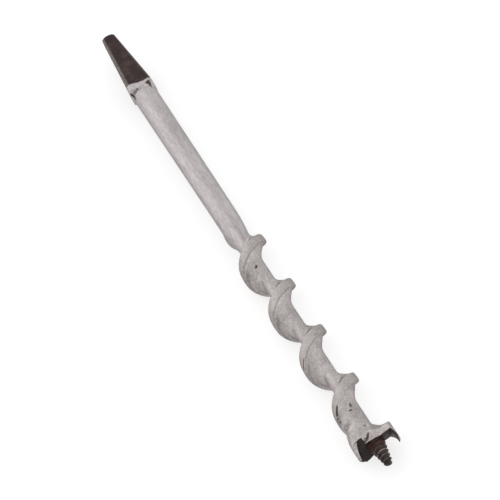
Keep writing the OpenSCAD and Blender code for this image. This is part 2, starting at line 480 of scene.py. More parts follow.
@dataclass(frozen=True, kw_only=True)
class SteelFinish(Finish):
    """Bare steel: satin, speckled, duller on the outer face of the flight, with a dark fill in its marks that
    is dirt in most and painted shade in some.
    """

    light: Colour
    shade: Colour
    land: Colour = (0.36, 0.338, 0.322)
    land_share: float = 0.35
    # Colour of the marks' fill, which is dirt in most and painted shade in some, and of the forge scale
    dirt_and_shade: Colour = (0.042, 0.026, 0.021)
    dirt_and_shade_roughness: float = 0.2
    edge_tint: float = 0.4

    def feeds(self, bench: Bench, grain: bpy.types.NodeOutputs) -> Feeds:
        """Speckles the steel, dulls the outer face and fills the marks with dirt and painted shade.

        Args:
            bench: the material's bench.
            grain: what the grain group puts out.

        Returns:
            Sockets and values for the shader.
        """
        colour = bench.blend(grain["Tone"], self.shade, self.light)
        land = bench.sum("MULTIPLY", bench.attribute("land"), self.land_share)
        colour = bench.blend(land, colour, self.land)
        # The marks' dark fill, which is dirt, and painted shade under the tang's corners and in the slit; and
        # the forge scale
        dirt_and_shade = bench.sum("MAXIMUM", bench.attribute("dirt_and_shade"), bench.attribute("scale"))
        rough = bench.spread(grain["Grain"], *self.roughness)
        return {
            "Base Color": bench.blend(dirt_and_shade, colour, self.dirt_and_shade),
            "Metallic": bench.sum("SUBTRACT", 1.0, dirt_and_shade),
            "Roughness": bench.sum("ADD", rough, bench.sum("MULTIPLY", dirt_and_shade, self.dirt_and_shade_roughness)),
            "Specular Tint": opaque((self.edge_tint, self.edge_tint, self.edge_tint)),
        }


@dataclass(frozen=True, kw_only=True)
class DarkFinish(Finish):
    """Scaled, blackened or rusted steel, rubbed where something wears it and bare where it ends."""

    dark: Colour
    brown: Colour
    rubbed: Colour
    bare: Colour = (0.42, 0.395, 0.392)
    rust: Colour = (0.046, 0.015, 0.006)
    worn: Colour = (0.062, 0.05, 0.044)
    wear: float = 0.5
    wear_band: Span = (0.45, 0.75)
    patch_band: Span = (0.3, 0.6)
    gloss: float = 0.25

    def feeds(self, bench: Bench, grain: bpy.types.NodeOutputs) -> Feeds:
        """Mottles the dark skin, rusts it in patches and rubs it through to the steel.

        Args:
            bench: the material's bench.
            grain: what the grain group puts out.

        Returns:
            Sockets and values for the shader.
        """
        skin = bench.blend(grain["Tone"], self.dark, self.brown)
        worn = bench.band(grain["Cloud"], *self.wear_band)
        skin = bench.blend(bench.sum("MULTIPLY", worn, self.wear), skin, self.worn)
        patchy = bench.band(grain["Grain"], *self.patch_band)
        skin = bench.blend(bench.sum("MULTIPLY", bench.attribute("rust"), patchy), skin, self.rust)
        rubbed = bench.sum("MULTIPLY", bench.attribute("rubbed"), patchy)
        skin = bench.blend(rubbed, skin, self.rubbed)
        bare = bench.attribute("bare")
        return {
            "Base Color": bench.blend(bare, skin, self.bare),
            "Metallic": bench.sum("MAXIMUM", rubbed, bare),
            "Roughness": bench.spread(grain["Grain"], *self.roughness),
            "Specular IOR Level": self.gloss,
        }


POLISHED = SteelFinish(
    name="polished_steel", roughness=(0.3, 0.44), grain_height=0.03, drawn_out=5.0, edge_tint=0.6,
    light=(0.485, 0.447, 0.448), shade=(0.35, 0.321, 0.322),
)
GROUND = SteelFinish(
    name="ground_steel", roughness=(0.44, 0.56), grain_height=0.04,
    light=(0.53, 0.487, 0.478), shade=(0.325, 0.296, 0.291),
)
# The rounded cutting edges: freshly ground steel, with a painted highlight that makes it lighter than the
# other bare steel
KEEN_STEEL_AND_HIGHLIGHT = SteelFinish(
    name="keen_steel_and_highlight", roughness=(0.25, 0.35), grain_height=0.02, edge_tint=0.8,
    light=(0.74, 0.7, 0.69), shade=(0.6, 0.56, 0.55),
)
SCALED = DarkFinish(
    name="scaled_steel", roughness=(0.45, 0.65), gloss=0.15,
    dark=(0.0165, 0.007, 0.0065), brown=(0.038, 0.02, 0.018), rubbed=(0.2, 0.182, 0.16),
)
BLACKENED = DarkFinish(
    name="dark_steel", roughness=(0.35, 0.6),
    dark=(0.014, 0.0095, 0.009), brown=(0.045, 0.027, 0.024), rubbed=(0.5, 0.46, 0.43),
)
RUSTED = DarkFinish(
    name="rusted_steel", roughness=(0.5, 0.75),
    dark=(0.014, 0.009, 0.008), brown=(0.075, 0.036, 0.02), rubbed=(0.4, 0.36, 0.33),
)
FINISHES = (SCALED, POLISHED, GROUND, BLACKENED, RUSTED, KEEN_STEEL_AND_HIGHLIGHT)


@dataclass(frozen=True)
class Mark:
    """A dent, scratch or ridge from one place on the bar to another, with a dark fill in it: dirt on the
    twist, painted shade under the tang's corners and in the slit beside the main cutter.

    An end is a place along the axis and an angle about it. A ridge has a depth below 0.
    """

    start: Span
    end: Span
    width: float
    depth: float
    # Strength of the dark fill: dirt, and painted shade in the marks under the tang's corners and in the slit
    dirt_and_shade: float = 1.0
    flat_share: float = 0.3

    def nearness(self, x: Array, about: Array, r: Array) -> Array:
        """How far into the mark points lie, from 0 outside to 1 along its middle.

        Args:
            x: places along the axis.
            about: angles about the axis.
            r: distances from the axis.

        Returns:
            The nearness of each point.
        """
        along = x - self.start[0]
        across = np.radians(wrapped(about - self.start[1])) * r
        run = self.end[0] - self.start[0]
        turn = np.radians(self.end[1] - self.start[1]) * r
        share = (along * run + across * turn) / np.maximum(run * run + turn * turn, TINY)
        share = np.clip(share, 0.0, 1.0)
        away = np.hypot(along - share * run, across - share * turn)
        return 1.0 - rise(away, self.flat_share * self.width, self.width)


MARKS = (
    # On the twist
    Mark((94.0, 106.0), (94.5, 115.0), 0.36, 0.25),
    Mark((137.8, 136.1), (139.5, 162.1), 0.2, 0.1),
    Mark((160.8, 130.0), (162.5, 153.0), 0.32, 0.2),
    Mark((161.4, 95.0), (162.0, 98.0), 0.35, 0.2),
    Mark((163.1, 106.0), (163.2, 116.0), 0.3, 0.18),
    Mark((170.6, 92.0), (170.6, 92.0), 0.35, 0.15),
    Mark((163.1, 160.0), (163.1, 160.0), 0.4, 0.15),
    Mark((164.0, 167.0), (164.0, 167.0), 0.4, 0.15),
    Mark((132.8, 66.0), (132.8, 66.0), 0.35, 0.12, 0.7),
    # Beside the main cutter: the slit, dented and darkened with painted shade, and a ridge
    Mark((174.6, 100.5), (175.9, 118.0), 0.55, 0.35, 0.9),
    Mark((175.8, 117.0), (176.8, 129.0), 0.75, 0.45, 0.8),
    Mark((175.0, 86.0), (177.6, 116.0), 0.5, -0.15, 0.0),
    # At the shoulder of the tang: painted shade under the overhanging corners of the flats, as shallow dark
    # marks
    Mark((1.9, 63.0), (1.5, 53.0), 0.6, 0.05),
    Mark((1.5, 53.0), (3.0, 45.0), 0.6, 0.05),
    Mark((2.0, 57.0), (2.4, 50.0), 0.6, 0.05),
    Mark((2.4, 111.0), (2.4, 111.0), 0.45, 0.08),
    Mark((0.9, 150.0), (2.0, 150.0), 0.4, 0.03),
    Mark((2.0, 146.0), (3.8, 153.0), 0.65, 0.05),
)


@dataclass(frozen=True)
class Layout:
    """Places along the axis, and the height of the floor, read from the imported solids."""

    tang_end: float
    shoulder: float
    shank: float
    root: float
    twist: float
    head: float
    boss_end: float
    tip: float
    floor: float

    @classmethod
    def from_frame(cls) -> Layout:
        """Reads the places from the frame's boxes.

        Returns:
            The places of this bit.
        """
        low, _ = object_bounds()
        return cls(
            tang_end=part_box("tang")[0].x / MM,
            shoulder=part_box("tang_shoulder")[0].x / MM,
            shank=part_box("shank")[0].x / MM,
            root=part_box("twist_root")[0].x / MM,
            twist=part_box("twist")[0].x / MM,
            head=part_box("head_core")[0].x / MM,
            boss_end=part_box("lead_screw")[0].x / MM,
            tip=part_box("lead_screw")[1].x / MM,
            floor=low[2] / MM,
        )

    def root_length(self) -> float:
        """Length over which the round bar becomes the twist."""
        return self.twist - self.root


@dataclass(kw_only=True)
class Part:
    """A piece of the bit, which stands for the CAD node of the same name."""

    name: str
    slot: Slot
    finishes: tuple[Finish, ...]
    crease: float = 40.0

    def shape(self) -> Piece:
        """Models the piece in millimetres."""
        raise NotImplementedError

    def paint(self, piece: Piece) -> None:
        """Writes what the finishes read on the points of the shaped piece."""

    def build(self, materials: dict[str, bpy.types.Material]) -> None:
        """Models the piece, brings it to metres, puts it in the frame and dresses it.

        Args:
            materials: the materials of all finishes, by name.
        """
        piece = self.shape()
        self.paint(piece)
        select_only(piece)
        piece.scale = (MM, MM, MM)
        apply_place()
        bpy.ops.object.shade_smooth_by_angle(angle=math.radians(self.crease))
        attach(piece, BODY)
        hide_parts(self.name)
        for finish in self.finishes:
            piece.data.materials.append(materials[finish.name])
        LOG.info("%s: %d faces", piece.name, len(piece.data.polygons))


@dataclass(kw_only=True)
class Bar(Part):
    """A piece round the axis: a cylinder with many rings, each pushed out to the section at its place."""

    start: float
    end: float
    around: int
    ring_step: float
    marks: tuple[Mark, ...] = MARKS

    def stations(self) -> Array:
        """Places of the rings along the axis."""
        count = max(LEAST_RINGS, round((self.end - self.start) / self.ring_step) + 1)
        return np.linspace(self.start, self.end, count)

    def spokes(self) -> Array:
        """Angles of the points of a ring."""
        return np.arange(self.around) * FULL_TURN / self.around

    def turned(self, x: Array) -> Array:
        """Angle by which each ring is turned about the axis."""
        return np.zeros_like(x)

    def radius(self, x: Array, angle: Array) -> Array:
        """Radius of the section at places along the axis and angles round it, before it is turned."""
        raise NotImplementedError

    def swept(self, x: Array, angle: Array) -> Array:
        """Angles by which points are moved round the section."""
        return np.zeros_like(x)

    def masks(self, x: Array, angle: Array) -> dict[str, Array]:
        """Values from 0 to 1 that the finish reads at each point, by name."""
        return {}

    def paint(self, piece: Piece) -> None:
        """Writes the masks, and the dirt and painted shade in the marks, on the points of the shaped piece.

        Args:
            piece: object to paint.
        """
        x, y, z = coordinates(piece).T
        about = np.degrees(np.arctan2(z, y))
        r = np.hypot(y, z)
        angle = wrapped(about - self.turned(x))
        # Dark fill of the marks: dirt in most, painted shade in those under the tang's corners and in the
        # slit
        dirt_and_shade = np.zeros_like(x)
        for mark in self.marks:
            dirt_and_shade = np.maximum(dirt_and_shade, mark.dirt_and_shade * mark.nearness(x, about, r))
        for name, values in {"dirt_and_shade": dirt_and_shade, **self.masks(x, angle)}.items():
            attribute = piece.data.attributes.new(name, "FLOAT", "POINT")
            attribute.data.foreach_set("value", values.astype(np.float32))

    def shape(self) -> Piece:
        """Adds a cylinder, cuts its rings and pushes them out to the section.

        Returns:
            The object, in millimetres.
        """
        stations = self.stations()
        last = len(stations) - 1
        piece = add_cylinder(self.name, 1.0, -HALF, HALF, self.around)
        ends = coordinates(piece)[edge_ends(piece), 0]
        pick_edges(piece, np.abs(ends[:, 0] - ends[:, 1]) > HALF)
        bpy.ops.mesh.subdivide_edgering(number_cuts=last - 1, interpolation="LINEAR")
        bpy.ops.object.mode_set(mode="OBJECT")
        along, y, z = coordinates(piece).T
        x = stations[np.rint((along + HALF) * last).astype(int)]
        spoke = np.rint(np.arctan2(z, y) / math.tau * self.around).astype(int)
        angle = self.spokes()[spoke % self.around]
        r = self.radius(x, angle)
        about = angle + self.turned(x) + self.swept(x, angle)
        r = r - sum(mark.depth * mark.nearness(x, about, r) for mark in self.marks)
        about = np.radians(about)
        placed = np.stack([x, r * np.cos(about), r * np.sin(about)], axis=1)
        piece.data.vertices.foreach_set("co", placed.ravel())
        piece.data.update()
        return piece


@dataclass(kw_only=True)
class TangBar(Bar):
    """The four-sided taper with blunted corners, and the ball under it."""

    name: str = "tang"
    slot: Slot = Slot.SCALED
    finishes: tuple[Finish, ...] = (SCALED,)
    around: int = 160
    ring_step: float = 0.3
    layout: Layout
    base_width: float = 8.6
    end_width: float = 4.4
    base_corners: float = 11.3
    end_corners: float = 5.7
    shank_diameter: float = 8.3
    corner_run: float = 0.3
    edge_blend: float = 0.16
    # The domed end
    dome: float = 4.0
    dome_flat: float = 0.4
    dome_blend: float = 0.5
    dome_tilt: float = 1.2
    dome_rings: int = 24
    # The line where the forge scale ends, which swings twice and dips four times in a turn
    swings: int = 2
    scale_swing: float = 0.75
    dips: int = 4
    scale_dip: float = 0.45
    ragged_waves: tuple[int, int] = (11, 17)
    ragged_shift: float = 1.0
    scale_ragged: float = 0.06
    bare_fade: Span = (-0.15, 0.2)
    # The rubbed corners, most on one side
    worn_corner: float = 135.0
    worn_reach: float = 0.3
    reach_power: int = 8
    worn_power: int = 4
    worn_fade: Span = (-0.25, 0.2)
    least_worn: float = 0.25

    def stations(self) -> Array:
        """Places of the rings, crowded on the domed end.

        Returns:
            Rising places along the axis.
        """
        plain = super().stations()
        dome_centre = self.layout.tang_end + self.dome
        if self.start > dome_centre:
            return plain
        tilt = np.linspace(math.asin(self.dome_flat / self.dome), self.dome_tilt, self.dome_rings)
        domed = dome_centre - self.dome * np.cos(tilt)
        return np.concatenate([domed, plain[plain > domed[-1] + self.ring_step / 2]])

    def halves(self, x: Array) -> tuple[Array, Array]:
        """Half widths of the taper.

        Args:
            x: places along the axis.

        Returns:
            Half the width across the flats, and across the corners.
        """
        along = (x - self.layout.tang_end) / (self.layout.shoulder - self.layout.tang_end)
        flats = self.end_width + (self.base_width - self.end_width) * along
        corners = self.end_corners + (self.base_corners - self.end_corners) * along
        return flats / 2, corners / 2

    def sides(self, x: Array, angle: Array) -> tuple[Array, Array]:
        """Radii to the sides of the blunted square.

        Args:
            x: places along the axis.
            angle: angles round the section.

        Returns:
            The radius to the nearest flat, and to the nearest blunted corner.
        """
        flats, corners = self.halves(x)
        from_flat = np.radians((angle + RIGHT_ANGLE / 2) % RIGHT_ANGLE - RIGHT_ANGLE / 2)
        from_corner = np.radians(angle % RIGHT_ANGLE - RIGHT_ANGLE / 2)
        return flats / np.cos(from_flat), corners / np.cos(from_corner)

    def radius(self, x: Array, angle: Array) -> Array:
        """Radius of the blunted square, domed at the end and balled at the shoulder.

        Args:
            x: places along the axis.
            angle: angles round the section.

        Returns:
            The radius at each point.
        """
        r = soft_min(*self.sides(x, angle), self.edge_blend)
        dome_centre = self.layout.tang_end + self.dome
        past = np.clip(dome_centre - x, 0.0, self.dome)
        domed = np.sqrt(self.dome**2 - past**2)
        r = np.where(x < dome_centre, soft_min(r, domed, self.dome_blend), r)
        return soft_min(r, self.ball(x), self.edge_blend)

    def ball(self, x: Array) -> Array:
        """Radius of the ball that joins the corners to the shank.

        Args:
            x: places along the axis.

        Returns:
            The radius at each place, larger than any section before the middle of the ball.
        """
        flats, corners = self.halves(np.array([self.layout.shoulder]))
        corner = math.hypot(flats[0], corners[0] * math.sqrt(2) - flats[0])
        length = self.layout.shank - self.layout.shoulder
        bar = self.shank_diameter / 2
        centre = (length**2 - self.corner_run**2 + bar**2 - corner**2) / (2 * (length - self.corner_run))
        size = math.hypot(length - centre, bar)
        from_centre = x - self.layout.shoulder - centre
        inside = np.sqrt(np.maximum(size**2 - from_centre**2, 0.0))
        return np.where(from_centre < 0, inside + size, inside)

    def scale_end(self, angle: Array) -> Array:
        """Place where the forge scale ends and bare steel begins, further back at every second corner.

        Args:
            angle: angles round the section.

        Returns:
            Places along the axis.
        """
        turn = np.radians(angle - RIGHT_ANGLE)
        swing = -self.scale_swing * np.sin(self.swings * turn)
        dip = self.scale_dip * (np.cos(self.dips * turn) - 1) / 2
        slow, quick = self.ragged_waves
        ragged = self.scale_ragged * (np.sin(slow * turn) + np.sin(quick * turn + self.ragged_shift))
        return self.layout.shoulder + swing + dip + ragged

    def masks(self, x: Array, angle: Array) -> dict[str, Array]:
        """Marks the rubbed corners, most on one side, and where the scale ends.

        Args:
            x: places along the axis.
            angle: angles round the section.

        Returns:
            Values from 0 to 1, by name.
        """
        to_flat, to_corner = self.sides(x, angle)
        worn_side = (1 + np.cos(np.radians(angle - self.worn_corner))) / 2
        reach = self.worn_reach * worn_side**self.reach_power
        rubbed = rise(to_flat - to_corner + reach, *self.worn_fade)
        rubbed = rubbed * (self.least_worn + (1 - self.least_worn) * worn_side**self.worn_power)
        bare = rise(x - self.scale_end(angle), *self.bare_fade)
        return {"rubbed": rubbed, "bare": bare, "scale": 1 - bare}


@dataclass(kw_only=True)
class ShankBar(Bar):
    """The round bar, a little thinner towards the twist."""

    name: str = "shank"
    slot: Slot = Slot.POLISHED
    finishes: tuple[Finish, ...] = (POLISHED,)
    around: int = 128
    ring_step: float = 0.5
    diameter: float = 8.3
    end_diameter: float = 7.8

    def radius(self, x: Array, angle: Array) -> Array:
        """Radius of the slightly tapering bar."""
        along = (x - self.start) / (self.end - self.start)
        return mix(self.diameter, self.end_diameter, along) / 2


@dataclass(kw_only=True)
class TwistBar(Bar):
    """A stretch of the twisted bar, with its flight.

    Angles round it count from the middle of the flight, positive on the side that leads in cutting.
    """

    name: str = "twist"
    slot: Slot = Slot.GROUND
    finishes: tuple[Finish, ...] = (GROUND,)
    around: int = 176
    ring_step: float = 0.2
    layout: Layout
    # How the flight turns, and how it slows to the straight cutters
    pitch: float = 24.0
    pitch_change: float = 0.58
    head_angle: float = 6.0
    settle: float = 1.2
    # Diameters, and the lengths over which they change
    diameter: float = 13.1
    core_diameter: float = 4.4
    bar_diameter: float = 7.8
    bore: float = 14.29
    head_core_diameter: float = 6.8
    head_growth: float = 10.0
    head_grown: float = 3.0
    core_growth: float = 4.0
    core_stretch: float = 1.5
    crest_delay: float = 3.0
    # The outer face, and the flanks on both sides of it
    land: float = 58.0
    lead_flank: float = 68.0
    trail_flank: float = 118.0
    heel_flank: float = 70.0
    lip_flank: float = 35.0
    lip_growth: float = 9.0
    flank_power: float = 3.0
    lead_round: float = 5.0
    trail_round: float = 1.8
    lip_round: float = 1.2
    face_reach: float = 2.0
    face_fade: Span = (-0.5, 1.0)
    # The second wing, which grows out of the core behind the head
    stub_flank: float = 80.0
    stub_growth: float = 13.0
    stub_turn: float = 3.0
    young_round: float = 30.0
    young_length: float = 9.0
    grown_length: float = 3.0
    valley_blend: float = 3.5
    valley_least: float = 0.01
    # The hollow under the trailing edge
    hook: float = 10.0
    hook_start: float = 13.0
    hook_end: float = 60.0
    hook_fade: float = 10.0
    # How points crowd at the corners of the two outer faces: by how many times, and within which angle
    fine_angles: int = 7201
    crowding: Span = (5.0, 5.0)
    second_crowding: Span = (3.0, 6.0)

    def spokes(self) -> Array:
        """Angles of the points, crowded at the corners of the two outer faces.

        Returns:
            Rising angles, from -180.
        """
        fine = np.linspace(-HALF_TURN, HALF_TURN, self.fine_angles)
        crowd = np.ones_like(fine)
        faces = ((np.abs(fine), self.crowding), (HALF_TURN - np.abs(fine), self.second_crowding))
        for from_middle, (times, within) in faces:
            crowd = crowd + times * np.exp(-((np.abs(from_middle - self.land / 2) / within) ** 2))
        share = np.concatenate([[0.0], np.cumsum((crowd[1:] + crowd[:-1]) / 2)])
        return np.interp(np.arange(self.around) / self.around, share / share[-1], fine)

    def helix(self, away: float | Array) -> float | Array:
        """Turn of the flight at distances behind the head, with a pitch that grows towards the tip."""
        depth = np.sqrt(self.pitch**2 - 2.0 * self.pitch_change * away)
        return -2.0 * FULL_TURN * away / (self.pitch + depth)

    def turned(self, x: Array) -> Array:
        """Angle of the middle of the flight, slowing to the straight cutters at the head.

        Args:
            x: places along the axis.

        Returns:
            Angles about the axis.
        """
        away = np.maximum(self.layout.head - x, self.settle)
        run = np.clip(x - self.layout.head + self.settle, 0.0, 2.0 * self.settle)
        straightened = run - run * run / (4.0 * self.settle)
        return self.head_angle + self.helix(away) - self.helix(self.settle) * straightened / self.settle

    def headed(self, x: Array) -> Array:
        """How far the flight has become the main cutter, from 0 to 1."""
        head = self.layout.head
        return rise(x, head - self.head_growth, head - self.head_growth / self.head_grown)

    def core_radius(self, x: Array) -> Array:
        """Radius of the solid centre.

        Args:
            x: places along the axis.

        Returns:
            The radius at each place.
        """
        at = self.layout
        thinned = rise(x, at.root, at.root + self.core_stretch * at.root_length())
        thickened = rise(x, at.head - self.core_growth, at.head)
        return staged(self.bar_diameter, self.core_diameter, self.head_core_diameter, thinned, thickened)

    def crest_radius(self, x: Array) -> Array:
        """Radius over the flight at places along the axis."""
        risen = rise(x, self.layout.root + self.layout.root_length() / self.crest_delay, self.layout.twist)
        return staged(self.bar_diameter, self.diameter, self.bore, risen, self.headed(x))

    def lobe(self, angle: Array, lead: Array, trail: Array, lead_round: Array, trail_round: Array) -> Array:
        """Share of the flight's height round a section, with softened corners.

        Args:
            angle: angles from the middle of the flight.
            lead: angle of the flank on the leading side.
            trail: angle of the flank on the other side.
            lead_round: how soft the corner is on the leading side.
            trail_round: how soft the corner is on the other side.

        Returns:
            Heights from 0 at the core to 1 on the outer face.
        """
        past = np.abs(angle) - self.land / 2
        leads = angle > 0
        corner = np.where(leads, lead_round, trail_round)
        past = (past + np.sqrt(past * past + corner * corner)) / 2
        flank = np.where(leads, lead, trail)
        return np.maximum(0.0, 1.0 - past / flank) ** self.flank_power

    def radius(self, x: Array, angle: Array) -> Array:
        """Radius of the bar, with the flight on one side and the second wing on the other.

        Args:
            x: places along the axis.
            angle: angles from the middle of the flight.

        Returns:
            The radius at each point.
        """
        core = self.core_radius(x)
        lipped = rise(x, self.layout.head - self.lip_growth, self.layout.head)
        lead = mix(self.lead_flank, self.lip_flank, lipped)
        trail = mix(self.trail_flank, self.heel_flank, self.headed(x))
        lead_round = mix(self.lead_round, self.lip_round, lipped)
        trail_round = np.full_like(x, self.trail_round)
        main = (self.crest_radius(x) - core) * self.lobe(angle, lead, trail, lead_round, trail_round)
        behind = np.maximum(self.layout.head - x, 0.0)
        opposite = angle + self.turned(x) - self.head_angle - HALF_TURN + self.stub_turn * behind
        grown = 1.0 - np.clip(behind / self.stub_growth, 0.0, 1.0) ** 2
        stub = np.full_like(x, self.stub_flank)
        young = rise(behind, self.grown_length, self.young_length)
        stub_round = mix(self.trail_round, self.young_round, young)
        wing = self.lobe(wrapped(opposite), lead, stub, lead_round, stub_round)
        second = (self.bore / 2 - core) * grown * wing
        higher = np.maximum(main, second)
        blend = self.valley_blend * rise(higher, 0.0, self.valley_blend / 2) + self.valley_least
        return core - soft_min(-main, -second, blend)

    def swept(self, x: Array, angle: Array) -> Array:
        """Draws the trailing flank in under the edge that overhangs it.

        Args:
            x: places along the axis.
            angle: angles from the middle of the flight.

        Returns:
            Angles by which the points move towards the middle of the flight.
        """
        past = -angle - self.land / 2
        drawn = rise(past, 0.0, self.hook_start) * (1 - rise(past, self.hook_start, self.hook_end))
        fading = self.layout.head - self.head_growth
        run = rise(x, self.layout.root, self.layout.twist) * (1 - rise(x, fading - self.hook_fade, fading))
        return self.hook * drawn * run

    def masks(self, x: Array, angle: Array) -> dict[str, Array]:
        """Marks the outer face of the flight, which is coarser than its flanks.

        Args:
            x: places along the axis.
            angle: angles from the middle of the flight.

        Returns:
            Values from 0 on the flanks to 1 on the face, by name.
        """
        past = np.abs(angle) - self.land / 2
        edge = np.where(angle > 0, self.face_reach * self.lead_round, self.trail_round)
        on_face = 1.0 - rise(past / edge, *self.face_fade)
        return {"land": on_face * rise(x, self.layout.root, self.layout.twist)}


@dataclass(kw_only=True)
class Lip(TwistBar):
    """A cutter: the end of the twist run on to a ground edge, with its clearance cut behind."""

    around: int = 240
    ring_step: float = 0.1
    side: Side
    drop: float
    clearance: float
    front_web: float = 125.0
    back_web: float = 261.0
    boss_diameter: float = 5.8
    boss_sides: int = 96
    wedge_sides: int = 32
    corner_trim: float = 1.2
    trim_slant: float = 4.0
    edge_round: float = 0.18
    face_spread: float = 2.0
    edge_spread: float = 30.0

    def edge_x(self) -> float:
        """Place of the cutting edge."""
        return self.start + self.drop

    def half(self) -> float:
        """Half the thickness of the cutter at its outer face."""
        return self.bore / 2 * math.sin(math.radians(self.land / 2))

    def side_angle(self) -> float:
        """Turn of the cutter about the axis, in radians."""
        return math.radians(self.head_angle + self.side.value)

    def shape(self) -> Piece:
        """Runs the section on past the edge, cuts the clearance and keeps the cutter's own share.

        Returns:
            The object, in millimetres.
        """
        piece = super().shape()
        turn = Matrix.Rotation(self.side_angle(), 3, "X")
        lean = math.radians(self.clearance)
        edge = turn @ Vector((self.edge_x(), 0.0, self.half()))
        facing = turn @ Vector((math.cos(lean), 0.0, -math.sin(lean)))
        cut_away(piece, edge, facing)
        how = Carving.TAKE_OUT if self.side is Side.MAIN else Carving.KEEP_INSIDE
        carve(piece, self.second_share(), how)
        first, last = self.start - self.bore, self.end + self.bore
        boss = add_cylinder("boss", self.boss_diameter / 2, first, last, self.boss_sides)
        carve(piece, boss, Carving.TAKE_OUT)
        self.trim_corner(piece, turn)
        soften_cut(piece, edge, facing, self.edge_round)
        finish_faces(piece, facing, self.face_spread, Coat.FACE)
        # The rounded cutting edge gets the lighter steel: fresh grinding, with a painted highlight
        finish_faces(piece, (facing + turn @ UP).normalized(), self.edge_spread, Coat.EDGE)
        return piece

    def second_share(self) -> Piece:
        """Shapes the wedge of the head that belongs to the second cutter.

        Returns:
            A closed wedge with its edge on the axis.
        """
        reach = 2 * self.bore
        wedge = add_cylinder("wedge", reach, self.start - reach, self.end + reach, self.wedge_sides)
        for angle, away in ((self.front_web, -RIGHT_ANGLE), (self.back_web, RIGHT_ANGLE)):
            facing = math.radians(self.head_angle + angle + away)
            cut_away(wedge, Vector(), Vector((0.0, math.cos(facing), math.sin(facing))))
        return wedge

    def trim_corner(self, piece: Piece, turn: Matrix) -> None:
        """Grinds off the outer corner of the cutting edge, if this is the second one.

        Args:
            piece: the cutter or its spur.
            turn: rotation of the piece about the axis.
        """
        if self.side is not Side.SECOND:
            return
        trim = self.corner_trim
        rim = self.bore / 2 * math.cos(math.radians(self.land / 2))
        low = Vector((self.edge_x() - trim, rim, self.half()))
        end = Vector((self.edge_x(), rim - trim, self.half()))
        inner = Vector((self.edge_x() + trim / self.trim_slant, self.bore / 2, self.half() / self.trim_slant))
        normal = (end - low).cross(inner - low).normalized()
        cut_away(piece, turn @ low, turn @ normal)


@dataclass(kw_only=True)
class Spur(Part):
    """A scoring tooth on the rim, at the outer end of a cutter."""

    slot: Slot = Slot.DARK
    finishes: tuple[Finish, ...] = (GROUND, BLACKENED)
    crease: float = 30.0
    lip: Lip
    height: float
    inset: float = 0.65
    tip_share: float = 4.0
    bevel: float = 1.5
    edge_width: float = 0.3
    thickness: float = 2.5
    hollow: float = 9.0
    edge_round: float = 0.1
    seat: float = 0.05
    rim_sides: int = 160
    hollow_sides: int = 256
    face_spread: float = 5.0
    inner_spread: float = 70.0

    def shape(self) -> Piece:
        """Cuts a tooth out of a disc of the bore size, hollows its inner face and turns it to its cutter.

        Returns:
            The object, in millimetres.
        """
        rim = self.lip.bore / 2
        half = self.lip.half()
        lip_x = self.lip.edge_x()
        heel_x = lip_x - 2 * half * math.tan(math.radians(self.lip.clearance))
        tip = Vector((lip_x + self.height, rim - self.inset, -half / self.tip_share))
        lead = Vector((lip_x, 0.0, half))
        heel = Vector((heel_x, 0.0, -half))
        shoulder = Vector((tip.x - self.bevel, rim, 0.0))
        down = Vector((-self.seat, 0.0, 0.0))
        piece = add_cylinder(self.name, rim, heel_x - rim, tip.x + rim, self.rim_sides)
        # Two points of each cut, the direction in which it runs, and a point on the side that stays
        cuts = (
            (lead + down, heel + down, ACROSS, tip),
            (lead, tip, ACROSS, heel),
            (heel, tip, ACROSS, lead),
            (shoulder, tip, UP, Vector((heel_x, rim, 0.0))),
        )
        for start, end, along, inside in cuts:
            normal = (end - start).cross(along).normalized()
            cut_away(piece, start, -normal if normal.dot(inside - start) > 0 else normal)
        foot = Vector((heel_x, rim - self.thickness))
        self.hollow_out(piece, foot, Vector((tip.x, tip.y - self.edge_width)))
        self.lip.trim_corner(piece, Matrix.Identity(3))
        soften_edges(piece, self.edge_round)
        leading = Vector((lead.z - tip.z, 0.0, self.height)).normalized()
        finish_faces(piece, leading, self.face_spread, Coat.FACE)
        finish_faces(piece, -ACROSS, self.inner_spread, Coat.FACE)
        select_only(piece)
        piece.rotation_euler = (self.lip.side_angle(), 0.0, 0.0)
        apply_place()
        return piece

    def hollow_out(self, piece: Piece, foot: Vector, tip: Vector) -> None:
        """Hollows the inner face with a round cutter.

        Args:
            piece: the tooth.
            foot: place along the axis and radius of the inner edge of its foot.
            tip: place and radius of the inner end of its scoring edge.
        """
        chord = tip - foot
        across = Vector((chord.y, -chord.x)).normalized()
        depth = math.sqrt(self.hollow**2 - (chord.length / 2) ** 2)
        centre = (tip + foot) / 2 + across * depth
        deselect_all()
        bpy.ops.mesh.primitive_cylinder_add(
            vertices=self.hollow_sides,
            radius=self.hollow,
            depth=2 * self.lip.bore,
            location=(*centre, 0.0),
        )
        carve(piece, bpy.context.object, Carving.TAKE_OUT)


@dataclass(kw_only=True)
class BossBar(Bar):
    """The round boss between the cutters, which carries the lead screw."""

    name: str = "head_core"
    slot: Slot = Slot.DARK
    finishes: tuple[Finish, ...] = (RUSTED,)
    around: int = 96
    ring_step: float = 0.1
    diameter: float = 5.8
    flare: float = 0.5

    def radius(self, x: Array, angle: Array) -> Array:
        """Radius of the boss, spreading a little at its root."""
        return self.diameter / 2 + self.flare * (1 - rise(x, self.start, self.end)) ** 2


